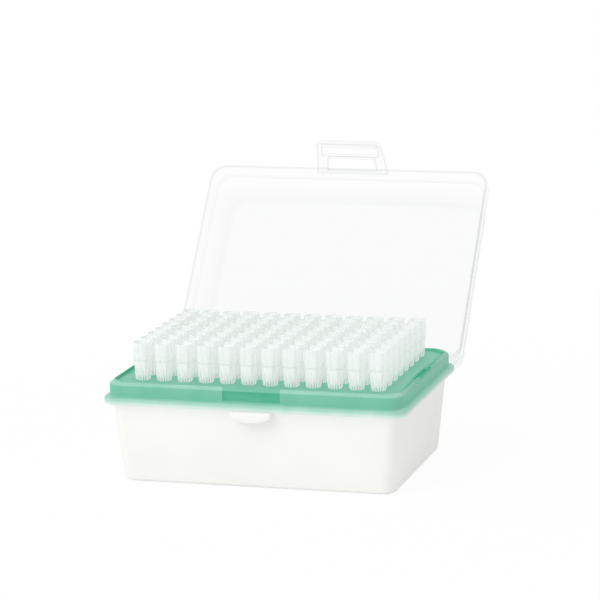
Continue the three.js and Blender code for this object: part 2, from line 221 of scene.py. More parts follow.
def ring(grid):
    """A closed surface from a grid whose last row joins its first."""
    rows, columns = grid.shape[:2]
    return grid.reshape(-1, 3), [quads(rows, columns, closed_rows=True)]


def bar(profile, x_values, rounding=0.25):
    """A bar along X on a closed (y, z) profile, with its two ends drawn in by the rounding.

    The end rows are the profile moved along its own normals, the mean of the normals of the two
    edges at each point, by rounding * (1 - sin a) while x moves by rounding * (1 - cos a).
    """
    edge = np.roll(profile, -1, 0) - profile
    normal = np.stack([edge[:, 1], -edge[:, 0]], 1) / np.linalg.norm(edge, axis=1)[:, None]
    outward = normal + np.roll(normal, 1, 0)
    outward /= np.maximum((outward**2).sum(1) / 2, 0.5)[:, None]
    angle = np.linspace(0.0, np.pi / 2, 4)
    drawn = rounding * np.append(1 - np.sin(angle), (1 - np.sin(angle))[::-1])
    step = rounding * (1 - np.cos(angle))
    x = np.append(x_values[0] + step, (x_values[-1] - step)[::-1])
    rows = profile[None] - drawn[:, None, None] * outward[None]
    x = np.broadcast_to(x[:, None, None], rows.shape[:2] + (1,))
    return shell(np.concatenate([x, rows], 2))


def joined(*parts):
    """Several (points, faces) surfaces as one."""
    first, points, faces = 0, [], []
    for part_points, part_faces in parts:
        points.append(part_points)
        faces += [corners + first for corners in part_faces]
        first += len(part_points)
    return np.vstack(points), faces


# %% [markdown]
# ## From arrays to Blender
# A Blender mesh is filled straight from the arrays. Each face is shaded smooth, and edges sharper
# than a limit angle are marked sharp, so a flat wall stays flat and its rounded edge catches light.

# %% Make a piece


def make_piece(name, surface, material, sharp=40.0, attributes=None):
    """A mesh object at the origin from (points in mm, faces), with optional values per point."""
    points, faces = surface
    corners = np.concatenate([face.ravel() for face in faces])
    counts = np.concatenate([np.full(len(face), face.shape[1]) for face in faces])
    mesh = bpy.data.meshes.new(name)
    mesh.vertices.add(len(points))
    mesh.vertices.foreach_set("co", (points * MM).astype(np.float32).ravel())
    mesh.loops.add(len(corners))
    mesh.loops.foreach_set("vertex_index", corners.astype(np.int32))
    mesh.polygons.add(len(counts))
    mesh.polygons.foreach_set("loop_start", (np.cumsum(counts) - counts).astype(np.int32))
    mesh.update(calc_edges=True)
    mesh.validate()
    for key, values in (attributes or {}).items():
        layer = mesh.attributes.new(key, "FLOAT", "POINT")
        layer.data.foreach_set("value", values.astype(np.float32))
    mesh.shade_smooth()
    mesh.set_sharp_from_angle(angle=math.radians(sharp))
    mesh.materials.append(material)
    piece = bpy.data.objects.new(name, mesh)
    bpy.context.scene.collection.objects.link(piece)
    print(name, len(mesh.vertices), "points", len(mesh.polygons), "faces")
    return piece


# %% [markdown]
# ## Materials
# Every moulding of the box is polypropylene, but each is filled and coloured in its own way. One
# helper adds a node, sets its values and links its inputs. A colour is written as the hex value
# that a screen shows, and one function turns it into the linear light that the renderer works in.

# %% Node helper and colours


def linear(code):
    """An sRGB hex colour as linear RGBA: ((c + 0.055) / 1.055) ^ 2.4, or c / 12.92 when dark."""
    c = np.array([int(code[i : i + 2], 16) for i in (1, 3, 5)]) / 255
    light = np.where(c > 0.04045, ((c + 0.055) / 1.055) ** 2.4, c / 12.92)
    return (*light.tolist(), 1.0)


def add(tree, kind, **settings):
    """Adds a node. A setting is a property of the node, or else an input, and an output links."""
    node = tree.nodes.new(kind)
    for key, value in settings.items():
        if hasattr(node, key):
            setattr(node, key, value)
            continue
        place = node.inputs[int(key[1:]) if key[1:].isdigit() else key.replace("_", " ")]
        if isinstance(value, bpy.types.NodeSocket):
            tree.links.new(value, place)
        else:
            place.default_value = value
    return node


def ramp(tree, value, *stops):
    """A colour ramp through (position, hex colour or grey level) stops."""
    node = add(tree, "ShaderNodeValToRGB", Fac=value)
    elements = node.color_ramp.elements
    while len(elements) < len(stops):
        elements.new(0.5)
    for element, (position, colour) in zip(elements, stops):
        element.position = position
        element.color = linear(colour) if isinstance(colour, str) else (colour,) * 3 + (1.0,)
    return node.outputs["Color"]


def new_material(name):
    """A material with an empty node tree, its tree and its output node."""
    material = bpy.data.materials.new(name)
    material.use_nodes = True
    material.node_tree.nodes.clear()
    tree = material.node_tree
    return material, tree, add(tree, "ShaderNodeOutputMaterial")


def grain(tree, size, detail=2.0):
    """Noise whose blotches are about size millimetres across, on the piece's own coordinates."""
    place = add(tree, "ShaderNodeTexCoord").outputs["Object"]
    noise = add(tree, "ShaderNodeTexNoise", Vector=place, Scale=1 / (size * MM), Detail=detail)
    return noise.outputs["Fac"]


# %% [markdown]
# ### White moulded polypropylene
# The tub is filled white polypropylene from a finely spark-eroded mould: silky, not glossy. The
# melt leaves faint clouds a few centimetres wide. A fine bump breaks the highlights up. The erosion
# is really some 0.05 mm and is drawn at 0.5 mm, so that it still shows from a metre away.

# %% White polypropylene


def white_polypropylene():
    material, tree, output = new_material("white_moulded_polypropylene")
    clouds = ramp(tree, grain(tree, 28.0, 1.0), (0.3, "#F1F1EE"), (0.7, "#F5F5F3"))
    fine = grain(tree, 0.5)
    rough = add(tree, "ShaderNodeMapRange", Value=fine, To_Min=0.40, To_Max=0.52)
    bump = add(tree, "ShaderNodeBump", Height=fine, Strength=0.12, Distance=0.02 * MM)
    surface = add(tree, "ShaderNodeBsdfPrincipled", Base_Color=clouds,
                  Roughness=rough.outputs["Result"], Normal=bump.outputs["Normal"], IOR=1.49)
    tree.links.new(surface.outputs["BSDF"], output.inputs["Surface"])
    return material


tub_material = white_polypropylene()
print(tub_material.name)

# %% [markdown]
# ### Green translucent polypropylene
# The deck is tinted and a little translucent. Each point of the deck carries a value from 0 (pale)
# to 1 (deep), and a ramp turns that value into the green. The value is partly the plastic's own
# tone, pale where a thin flange lies on the white tub, and partly painted shade: the groove round
# the field, the pockets and the slots get a deeper green for the shade in them, and the green is
# painted richer round the slots for the light gathered there.

# %% Green polypropylene
LIGHT_THROUGH_GREEN = 0.75  # the share of lamp light that each face of the moulding lets through


def green_polypropylene():
    material, tree, output = new_material("green_translucent_polypropylene")
    depth = add(tree, "ShaderNodeAttribute", attribute_name="green_depth_and_shade").outputs["Fac"]
    clouds = grain(tree, 9.0, 1.0)
    shifted = add(tree, "ShaderNodeMath", operation="MULTIPLY_ADD", _0=clouds, _1=0.16, _2=depth)
    moved = add(tree, "ShaderNodeMath", operation="SUBTRACT", _0=shifted.outputs[0], _1=0.08)
    # The darkest stops, 0.93 and 1.0, are the painted shade of the narrow groove round the field.
    colour = ramp(tree, moved.outputs[0], (0.0, "#E6F1EC"), (0.15, "#C4E3D8"), (0.3, "#A3D3C1"),
                  (0.5, "#7DC2AA"), (0.65, "#6CBB9E"), (0.8, "#4DB08B"), (0.93, "#38B386"),
                  (1.0, "#1F8767"))
    fine = grain(tree, 0.6)
    bump = add(tree, "ShaderNodeBump", Height=fine, Strength=0.10, Distance=0.02 * MM)
    plastic = add(tree, "ShaderNodeBsdfPrincipled", Base_Color=colour, Roughness=0.38,
                  Normal=bump.outputs["Normal"], IOR=1.49, Specular_IOR_Level=0.1)
    let_through = add(tree, "ShaderNodeMath", operation="MULTIPLY", _1=LIGHT_THROUGH_GREEN,
                      _0=add(tree, "ShaderNodeLightPath").outputs["Is Shadow Ray"])
    surface = add(tree, "ShaderNodeMixShader", _0=let_through.outputs[0],
                  _1=plastic.outputs["BSDF"],
                  _2=add(tree, "ShaderNodeBsdfTransparent", Color=linear("#D8F0E6")).outputs[0])
    tree.links.new(surface.outputs[0], output.inputs["Surface"])
    return material


deck_material = green_polypropylene()
print(deck_material.name)

# %% [markdown]
# ### Natural polypropylene of the tips
# Unfilled polypropylene is milky. Layer Weight says how far a face is turned from the line of
# sight. Across a round wall it goes from 0 to 1, and soft light and dark bands along it are painted
# for the light seen through the outer and the inner face of the wall. Each point also carries a
# painted green, the deck's green reflected onto the tip with the shade in its grooves, from 0 on
# the collar to 1 deep in a groove at the foot, and how milky the wall is: the collar's thin smooth
# wall is clearer than the thick ribbed neck.

# %% Milky polypropylene


def milky_polypropylene():
    material, tree, output = new_material("milky_moulded_polypropylene")
    turned_away = add(tree, "ShaderNodeLayerWeight", Blend=0.35).outputs["Facing"]
    painted_green = add(tree, "ShaderNodeAttribute", attribute_name="painted_deck_green").outputs["Fac"]
    milkiness = add(tree, "ShaderNodeAttribute", attribute_name="milkiness").outputs["Fac"]
    # Painted light and shade: bands across a round wall, by how far it is turned away.
    painted_bands = ramp(tree, turned_away, (0.04, "#FFFFFF"), (0.10, "#EEF3F1"), (0.22, "#FFFFFF"),
                 (0.5, "#F3F7F5"), (1.0, "#FFFFFF"))
    # Painted green: the deck's green reflected onto the tip, and the shade in the grooves at the
    # foot.
    green = ramp(tree, painted_green, (0.0, "#FCFFFE"), (0.35, "#F2FAF6"), (1.0, "#97D3B6"))
    colour = add(tree, "ShaderNodeMix", data_type="RGBA", blend_type="MULTIPLY", _0=1.0, _6=painted_bands,
                 _7=green)
    cover = add(tree, "ShaderNodeMapRange", Value=turned_away, To_Min=milkiness, To_Max=0.95)
    rough = add(tree, "ShaderNodeMapRange", Value=grain(tree, 6.0, 1.0), To_Min=0.28, To_Max=0.38)
    surface = add(tree, "ShaderNodeBsdfPrincipled", Base_Color=colour.outputs[2], IOR=1.49,
                  Roughness=rough.outputs["Result"], Alpha=cover.outputs["Result"])
    lit_through = add(tree, "ShaderNodeBsdfTranslucent", Color=colour.outputs[2])
    share = add(tree, "ShaderNodeMath", operation="MULTIPLY", _0=cover.outputs["Result"], _1=0.4)
    milky = add(tree, "ShaderNodeMixShader", _0=share.outputs[0], _1=surface.outputs["BSDF"],
                _2=lit_through.outputs["BSDF"])
    tree.links.new(milky.outputs[0], output.inputs["Surface"])
    return material


tip_material = milky_polypropylene()
print(tip_material.name)

# %% [markdown]
# ### Clear polypropylene of the lid and the latch
# The lid and the latch are clear. A clear sheet is a filter with a gloss on it. The thin grey lines
# of its edges are painted: the filter is made darker where the moulding bends, for the light that
# its rounded edges bend away, and it also darkens where a wall is met edge on. Each point of the
# lid carries the strength of its painted line.

# %% Clear polypropylene


def clear_polypropylene(name, gloss, line=None):
    """A filter from white to grey, with a share of glossy plastic that grows towards the edges."""
    material, tree, output = new_material(name)
    turned_away = add(tree, "ShaderNodeLayerWeight", Blend=0.5).outputs["Facing"]
    if line is None:
        line = add(tree, "ShaderNodeAttribute", attribute_name="line").outputs["Fac"]
    edge_on = add(tree, "ShaderNodeMath", operation="POWER", _0=turned_away, _1=5.0)
    dark = add(tree, "ShaderNodeMath", operation="MULTIPLY_ADD", _0=edge_on.outputs[0], _1=0.10,
               _2=line)
    # Painted shade: the grey that draws the lines at the bends.
    filtered = ramp(tree, dark.outputs[0], (0.0, "#FFFFFF"), (1.0, "#B4BABA"))
    clear = add(tree, "ShaderNodeBsdfTransparent", Color=filtered)
    rough = add(tree, "ShaderNodeMapRange", Value=grain(tree, 6.0, 1.0), To_Min=0.1, To_Max=0.2)
    plastic = add(tree, "ShaderNodeBsdfPrincipled", Base_Color=linear("#F4F6F6"), IOR=1.49,
                  Roughness=rough.outputs["Result"])
    share = add(tree, "ShaderNodeMapRange", Value=turned_away, To_Min=gloss, To_Max=4 * gloss)
    surface = add(tree, "ShaderNodeMixShader", _0=share.outputs["Result"],
                  _1=clear.outputs["BSDF"], _2=plastic.outputs["BSDF"])
    tree.links.new(surface.outputs[0], output.inputs["Surface"])
    return material


lid_material = clear_polypropylene("clear_moulded_polypropylene", 0.02)
# Painted grey lines: the latch's plate, its side walls and its bevelled edges, from faint to
# strong.
latch_material = clear_polypropylene("clear_polypropylene_of_the_latch", 0.02, 0.02)
latch_side_material = clear_polypropylene("clear_polypropylene_sides", 0.03, 0.08)
latch_edge_material = clear_polypropylene("clear_polypropylene_edges", 0.03, 0.35)
print(lid_material.name, latch_material.name, latch_side_material.name, latch_edge_material.name)

# %% [markdown]
# ## The tub
# The tub is one drafted moulding: it widens from its foot to its rim, so that it leaves the mould.
# Its profile starts under the foot, runs up the outside, over the rim, down the inside and onto
# the floor, and that profile is carried round a rounded rectangle.

# %% Tub shell
BASE_DRAFT, BASE_WALL, BASE_FLOOR, BASE_CORNER = 3.2, 1.8, 1.8, 5.0
RIM_INSET = 3.1  # how far the tub's rim stands in from the edge of the deck's flange
FOOT_FLAT, FOOT_ROUND, RIM_ROUND, FLOOR_ROUND, FLOOR_EDGE = 1.9, 1.3, 0.35, 2.0, 4.0
base_half = flange_half - RIM_INSET


def tub():
    """The profile under, up, over and down the wall of the tub, round its outline."""
    inner = BASE_WALL + BASE_DRAFT * (1 - BASE_FLOOR / base_rim)
    profile = soften([
        (BASE_DRAFT + FOOT_FLAT, 0.0, 0.0),
        (BASE_DRAFT, 0.0, FOOT_ROUND),
        (0.0, base_rim, RIM_ROUND),
        (BASE_WALL, base_rim, RIM_ROUND),
        (inner, BASE_FLOOR, FLOOR_ROUND),
        (inner + FLOOR_EDGE, BASE_FLOOR, 0.0),
    ])
    sides = np.linspace(-44.0, 44.0, 5), np.linspace(-27.0, 27.0, 5)
    return shell(carried(profile, base_half, BASE_CORNER, *sides))


def base_inset(z):
    """How far the drafted wall stands in from its rim at a height."""
    return BASE_DRAFT * (1 - z / base_rim)


# %% [markdown]
# ### The catch
# The latch hooks under a small ledge in the middle of the front wall. Its top is flat with a
# bevelled front edge, and its lower edge sags like a smile. Each station along X has a section of
# eight points. The four at the top stay level, and the four at the foot follow the curve.

# %% Catch, ears and pins
CATCH_HALF, CATCH_HEIGHT, CATCH_ROUND = 8.5, 4.2, 0.5
catch_front = box_of("base")[0][1]


def catch():
    """Eight points (y, z) at each station; the foot is the parabola z0 - 2 t (1 - t) * height."""
    angle = np.linspace(0.0, np.pi / 2, 6)
    x = np.append(-CATCH_HALF + CATCH_ROUND * (1 - np.sin(angle)), np.linspace(-7.0, 0.0, 6))
    x = np.append(x, -x[:-1][::-1])
    x.sort()
    t = (x + CATCH_HALF) / (2 * CATCH_HALF)
    foot = under_flange - CATCH_HEIGHT / 2 - 2 * t * (1 - t) * CATCH_HEIGHT
    past_straight = np.maximum(np.abs(x) - CATCH_HALF + CATCH_ROUND, 0)
    drawn = CATCH_ROUND - np.sqrt(np.maximum(CATCH_ROUND**2 - past_straight**2, 0))
    wall = -base_half[1] + base_inset(under_flange - CATCH_HEIGHT) + BASE_WALL / 2
    front = catch_front + drawn
    top = under_flange - 0.4 * drawn
    section = [
        (wall, foot), (wall, top), (front + 0.75, top), (front + 0.2, top - 0.2),
        (front, top - 0.6), (front, foot + 0.45), (front + 0.12, foot + 0.12),
        (front + 0.45, foot)]
    y, z = (np.stack([point[k] + 0 * x for point in section], 1) for k in (0, 1))
    return shell(np.stack([x[:, None] + 0 * y, y, z], 2))


KNUCKLE_RADIUS, PIN_RADIUS, KNUCKLE_HALF, EAR = 2.4, 1.2, 6.0, 3.0
RAMP_LENGTH, BRACKET_DROP, PIN_END = 5.0, 9.0, 1.0  # the last is the ear beyond the pin's end
hinge_y, hinge_z = joint_at["lid_hinge"][1:]
hinge_x = np.array([-38.0, 38.0])


def arc(radius, start, end, steps, centre=(0.0, 0.0)):
    """Points (y, z) on an arc: centre + radius * (cos a, sin a), angles in degrees."""
    angle = np.radians(np.linspace(start, end, steps))
    return np.array(centre) + radius * np.stack([np.cos(angle), np.sin(angle)], 1)


def hinge_bracket(x):
    """Two ears with the ramp that the open lid leans on, and the pin between them."""
    ramp_angle = math.pi - lid_open
    along = np.array([math.sin(ramp_angle), -math.cos(ramp_angle)])
    tip = arc(KNUCKLE_RADIUS, math.degrees(ramp_angle), 180.0, 10, (hinge_y, hinge_z))
    root_z = under_flange - BRACKET_DROP
    root = np.array([base_half[1] - base_inset(root_z) - BASE_WALL / 2, root_z])
    profile = np.vstack([root, tip[0] + RAMP_LENGTH * along, tip,
                         [hinge_y - KNUCKLE_RADIUS, under_flange], [root[0], under_flange]])
    outer, inner = KNUCKLE_HALF + FIT + EAR, KNUCKLE_HALF + FIT
    pin = arc(PIN_RADIUS, 0.0, 345.0, 24, (hinge_y, hinge_z))
    return [bar(profile, (x - outer, x - inner)), bar(profile, (x + inner, x + outer)),
            bar(pin, (x - outer + PIN_END, x + outer - PIN_END))]


brackets = hinge_bracket(hinge_x[0]) + hinge_bracket(hinge_x[1])
base_piece = make_piece("tub", joined(tub(), catch(), *brackets), tub_material)
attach(base_piece, "box")
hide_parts("base")

# %% [markdown]
# ## The deck
# The deck's frame is one closed profile carried round: the channel over the tub's rim, the flange,
# the wall, its bevelled rim, and a thin groove where the rim drops to the sunk field. The inner
# outline has straight-cut corners. Front and back hold a shallow pocket, left and right a slot let
# in from above: at those stations a few rows of the same grid are moved in or down.

# %% Deck frame
DECK_CORNER, FIELD_CUT = 6.5, 5.8
POCKET_HALF, POCKET_DEPTH, SLOT_HALF = 12.0, 2.0, 9.5
LEDGE, CHANNEL, WALL_TO_FIELD = 1.85, 2.8, 3.5
CEILING, GROOVE_FLOOR, SLOT_FLOOR = field_z - 1.6, rim_z - 0.35, field_z - 1.0
# Painted shade: the green depths of the pocket's back wall, of the rows over the pocket and of the
# slot.
POCKET_BACK_SHADE_GREEN, POCKET_SHADE_GREEN, SLOT_SHADE_GREEN = 0.75, 0.56, 0.62
CUT_FROM = 7  # the first row of the wall whose corners are cut straight
FRONT_PAST, SIDE_PAST = 35.0, 50.0  # a point past these lies on a long or on a short side
cell_half = np.array([COLUMNS, ROWS]) * tip_pitch / 2


def deck_profile():
    """The (inset, height, green) rows of the frame, and how many of them come before the wall."""
    sill, lintel = flange_top + 0.8, field_z - FIT
    low = soften([
        (LEDGE + 2.3, CEILING, 0.0),
        (LEDGE + 2.3, flange_top - FLANGE_SKIN, 0.2),
        (CHANNEL, flange_top - FLANGE_SKIN, 0.2),
        (CHANNEL, flange_foot, 0.2),
        (0.0, flange_foot, 0.5),
        (0.0, flange_top, 0.7),
        (LEDGE, flange_top, 0.25),
        (LEDGE, sill - 0.1, 0.0),
    ], 3)
    low_depth = np.interp(np.arange(len(low)), [0, 12, 13, 16, 17, 20, 21, 24, 25],
                          [0.7, 0.4, 0.13, 0.06, 0.29, 0.35, 0.42, 0.5, 0.6])
    wall = [(LEDGE, sill, 0.60), (LEDGE, sill + 0.08, 0.60), (LEDGE, lintel - 0.08, 0.52),
            (LEDGE, lintel, 0.48), (LEDGE + 0.1, lintel + 0.22, 0.36), (3.0, rim_z - 0.05, 0.34),
            (3.1, rim_z, 0.40), (WALL_TO_FIELD - 0.30, rim_z, 0.45),
            # Painted shade: the two rows in the groove carry the deepest green, for the shade in
            # the narrow crevice.
            (WALL_TO_FIELD - 0.26, GROOVE_FLOOR, 1.0), (WALL_TO_FIELD - 0.05, GROOVE_FLOOR, 1.0),
            (WALL_TO_FIELD, rim_z - 0.05, 0.7), (WALL_TO_FIELD + 0.05, field_z, 0.72),
            (WALL_TO_FIELD + 0.5, field_z, 0.60), (5.25, field_z, 0.52), (6.6, field_z, 0.52)]
    return np.vstack([np.column_stack([low, low_depth]), wall]), len(low)


def let_in(loop, z, green, level, inset):
    """Moves and colours one row of the wall in place: a pocket goes in, a slot goes in and down.

    Rows are counted from the foot of the wall. The pocket, the rows over it and the slot are
    painted a deeper green for the shade in them, and along the left and right sides the green is
    painted richer towards Y = 0, round the slots, for the light gathered there.
    """
    on_front = (np.abs(loop[:, 0]) <= POCKET_HALF + 0.001) & (np.abs(loop[:, 1]) > FRONT_PAST)
    on_side = (np.abs(loop[:, 1]) <= SLOT_HALF + 0.001) & (np.abs(loop[:, 0]) > SIDE_PAST)
    beside = np.abs(loop[:, 0]) > flange_half[0] - inset - 0.3
    # Painted shade: the pocket's back wall goes in, and it and the rows over it take a deeper
    # green.
    if level in (1, 2):
        loop[on_front, 1] -= np.sign(loop[on_front, 1]) * POCKET_DEPTH
        green[on_front] = POCKET_BACK_SHADE_GREEN
    if level in (3, 4, 5, 6, 7, 10, 11, 12):
        green[on_front] = POCKET_SHADE_GREEN
    # Painted shade: the slot's rows and the field row beside it take a deeper green.
    if level == 13:
        green[on_side] = SLOT_SHADE_GREEN
    if 5 <= level <= 12:
        slot_inset = [2.65, 2.65, 2.65, 2.9, 3.2, 3.4, 4.2, 5.25][level - 5]
        slot_z = [rim_z - 0.4, rim_z - 0.5] + [SLOT_FLOOR] * 6
        loop[on_side, 0] = np.sign(loop[on_side, 0]) * (flange_half[0] - slot_inset)
        z[on_side] = slot_z[level - 5]
        green[on_side] = SLOT_SHADE_GREEN
    # Painted light: along the left and right sides the green is richer towards Y = 0, for light
    # gathered round the slots.
    if 3 <= level <= 13:
        green += beside * np.interp(np.abs(loop[:, 1]), [0, SLOT_HALF, 33], [0.3, 0.22, 0.04])


def deck_frame():
    """The points, faces and green values, painted shade among them, of the frame round the
    perforated field.
    """
    x_stations = np.array([-50.0, -12.06, -12.0, -8.0, -4.0, 0.0, 4.0, 8.0, 12.0, 12.06, 50.0])
    y_stations = np.array([-33.0, -9.56, -9.5, 0.0, 9.5, 9.56, 33.0])
    levels, before_wall = deck_profile()
    rows, depth = [], []
    for number, (inset, height, deep) in enumerate(levels):
        level = number - before_wall
        straight = level >= CUT_FROM
        loop = outline(flange_half - inset, FIELD_CUT if straight else DECK_CORNER, x_stations,
                       y_stations, cut=straight)
        z = np.full(len(loop), height)
        green = np.full(len(loop), deep)
        let_in(loop, z, green, level, inset)
        rows.append(np.column_stack([loop, z]))
        depth.append(green)
    for height in (field_z, CEILING):
        loop = outline(cell_half, 0.5, x_stations, y_stations)
        rows.append(np.column_stack([loop, np.full(len(loop), height)]))
        depth.append(np.full(len(loop), 0.6))
    return ring(np.stack(rows)), np.concatenate(depth)


# %% [markdown]
# ### The perforated field
# The field is twelve by eight square tiles, each with a round hole. One ring of points lies on the
# square, at the same angles as the ring on the circle, so plain quads join them. Neighbouring tiles
# share the points on their squares, and only the outermost squares get a side wall.

# %% Perforated field
HOLE_RADIUS = 2.65


def perforated_field():
    """Tiles with holes: square point = half pitch * (cos a, sin a) / max(|cos a|, |sin a|)."""
    steps = 24
    angle = np.arange(steps) * 2 * np.pi / steps
    unit = np.stack([np.cos(angle), np.sin(angle)], 1)
    square = unit / np.abs(unit).max(1)[:, None] * tip_pitch / 2
    circle = unit * HOLE_RADIUS
    column, row = np.meshgrid(np.arange(COLUMNS), np.arange(ROWS))
    centre = first_tip + tip_pitch * np.stack([column.ravel(), row.ravel()], 1)
    rings = centre[:, None, None, :] + np.stack([square, circle, circle, square])[None]
    z = np.array([field_z, field_z, CEILING, CEILING])[None, :, None, None]
    grid = np.concatenate([rings, np.broadcast_to(z, rings.shape[:3] + (1,))], 3)
    tiles = len(centre)
    faces = quads(4, steps)[None] + np.arange(tiles)[:, None, None] * 4 * steps
    top = np.arange(tiles)[:, None] * 4 * steps + np.arange(steps)
    beside = np.arange(tiles)[:, None] * 4 * steps + (np.arange(steps) + 1) % steps
    points = grid.reshape(-1, 3)
    walls = np.stack([top + 3 * steps, beside + 3 * steps, beside, top], 2).reshape(-1, 4)
    middle = np.abs(points[walls][:, 2:, :2].mean(1))
    walls = walls[(middle > cell_half - 0.01).any(1)]
    points, index = np.unique(points.round(5), axis=0, return_inverse=True)
    index = index.ravel()
    return points, [index[faces.reshape(-1, 4)], index[walls]]


deck_surface, deck_green_and_shade = deck_frame()
field_surface = perforated_field()
deck_green_and_shade = np.append(deck_green_and_shade, np.full(len(field_surface[0]), 0.62))
deck_piece = make_piece("deck_moulding", joined(deck_surface, field_surface), deck_material,
                        attributes={"green_depth_and_shade": deck_green_and_shade})
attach(deck_piece, "box")
deck_piece.visible_diffuse = False
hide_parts("deck")

# %% [markdown]
# ## The tips
# A tip is a turned shape: a smooth collar, a shoulder, a neck with fine upright ribs that stand on
# the deck, and a long cone below it. The radius is a function of the height and of the angle. On
# the neck it swings between the core and the crest of a rib, and the grooves are deepest at the
# foot. The profile goes on over the mouth and down the bore, so that the tip is a real tube.

# %% One tip
RIBS, AROUND = 16, 64
NECK_MILK, COLLAR_MILK = 0.75, 0.34
COLLAR, NECK, SHOULDER_Z = 3.65, 3.45, 7.7


def tip_grid():
    """Radius = core + (crest - core) * rib, where rib is 0, 1, 1, 0 over four points each."""
    cone = tip_point - seat_z
    table = np.array([  # height, core radius, crest radius
        (cone, 0.32, 0.32), (cone, 0.45, 0.45), (cone + 0.3, 0.5, 0.5),
        (-1.6, 2.15, 2.15), (-0.25, 2.25, 2.25), (-0.24, 2.25, 2.8), (0.0, 2.35, 2.95),
        (0.5, 2.5, 3.05), (2.6, 3.0, 3.3), (5.2, 3.3, 3.42), (7.2, 3.4, NECK),
        (7.62, 3.42, NECK), (SHOULDER_Z, NECK, NECK), (7.78, 3.55, 3.55), (8.0, 3.62, 3.62),
        (8.4, COLLAR, COLLAR), (14.7, COLLAR, COLLAR), (15.05, 3.6, 3.6), (15.2, 3.45, 3.45),
        (15.2, 3.3, 3.3), (15.0, 3.16, 3.16), (8.2, 2.55, 2.55), (2.2, 2.0, 2.0),
        (-1.0, 1.7, 1.7), (cone, 0.25, 0.25)])
    angle = np.arange(AROUND) * 2 * np.pi / AROUND
    rib = np.tile([0.0, 1.0, 1.0, 0.0], RIBS)
    radius = table[:, 1:2] + (table[:, 2:3] - table[:, 1:2]) * rib[None]
    height = np.broadcast_to(table[:, 0:1], radius.shape)
    # Painted green: the deck's green reflected onto the tip and the shade deep in the grooves at
    # the foot, with a faint band round the shoulder.
    on_rib = np.interp(height, [0.0, 2.0, SHOULDER_Z - 0.1, SHOULDER_Z, 8.0, 8.4],
                       [0.05, 0.02, 0.0, 0.4, 0.4, 0.0])
    in_groove = np.interp(height, [0.0, 1.2, 2.8, SHOULDER_Z - 0.1, SHOULDER_Z, 8.0, 8.4],
                          [1.0, 0.7, 0.15, 0.04, 0.4, 0.4, 0.0])
    painted_green = in_groove + (on_rib - in_groove) * rib[None]
    milk = np.interp(height, [SHOULDER_Z, 8.4], [NECK_MILK, COLLAR_MILK])
    grid = np.stack([radius * np.cos(angle), radius * np.sin(angle), height], 2)
    return grid, {"painted_deck_green": painted_green, "milkiness": milk}


# %% Rows of tips
def tip_row(number):
    """The tip's grid set down at each place of a row: first place + column * pitch along X."""
    grid, values = tip_grid()
    levels, around = grid.shape[:2]
    x = first_tip[0] + tip_pitch * np.arange(COLUMNS)
    place = np.stack([x, np.full(COLUMNS, first_tip[1] + tip_pitch * number),
                      np.full(COLUMNS, seat_z)], 1)
    points = (place[:, None, None, :] + grid[None]).reshape(-1, 3)
    faces = quads(levels, around, closed_rows=True)
    first = np.arange(COLUMNS)[:, None, None] * levels * around
    row_values = {key: np.tile(value.ravel(), COLUMNS) for key, value in values.items()}
    return (points, [(faces[None] + first).reshape(-1, 4)]), row_values


loose = sorted(name for name in frame["nodes"] if name.startswith("tip_"))
for number in range(ROWS):
    letter = "abcdefgh"[number]
    row_surface, row_values = tip_row(number)
    row_piece = make_piece(f"tips_row_{letter}", row_surface, tip_material, sharp=50.0,
                           attributes=row_values)
    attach(row_piece, "box")
    row_piece.visible_shadow = row_piece.visible_diffuse = False
    own = [name for name in loose if name.startswith(f"tip_{letter}")]
    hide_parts(*(own or ["deck"]))

# %% [markdown]
# ## The lid
# The lid is a thin clear shell. It is worked out shut, standing on the deck's flange: a band round
# its foot, a small ledge, a drafted wall and a rounded roof, then the same again on the inside, one
# wall thickness in. After that the whole grid is turned about the hinge pins to where it leans.

# %% Lid shell and knuckles
LID_WALL, BAND_TOP, HEADROOM, ROOF_ROUND, ROOF_GREY = 1.2, 7.5, 0.9, 2.6, 0.04
WALL_START, WALL_END = 1.35, 3.55  # how far the wall stands in, above the band and under the roof
ROOF_DRAWN_IN, BAND_DRAWN_IN, ROOF_EDGE, FULL_GREY_DROP = 0.7, 0.45, 9.0, 3.0
lid_foot = flange_top + FIT
lid_height = tip_top - lid_foot + HEADROOM + LID_WALL


def swung(points, angle, centre):
    """Points turned about an axis along X: y' = y cos a - z sin a, z' = y sin a + z cos a."""
    turn = np.array([[1, 0, 0], [0, math.cos(angle), -math.sin(angle)],
                     [0, math.sin(angle), math.cos(angle)]])
    return (points - centre) @ turn.T + centre


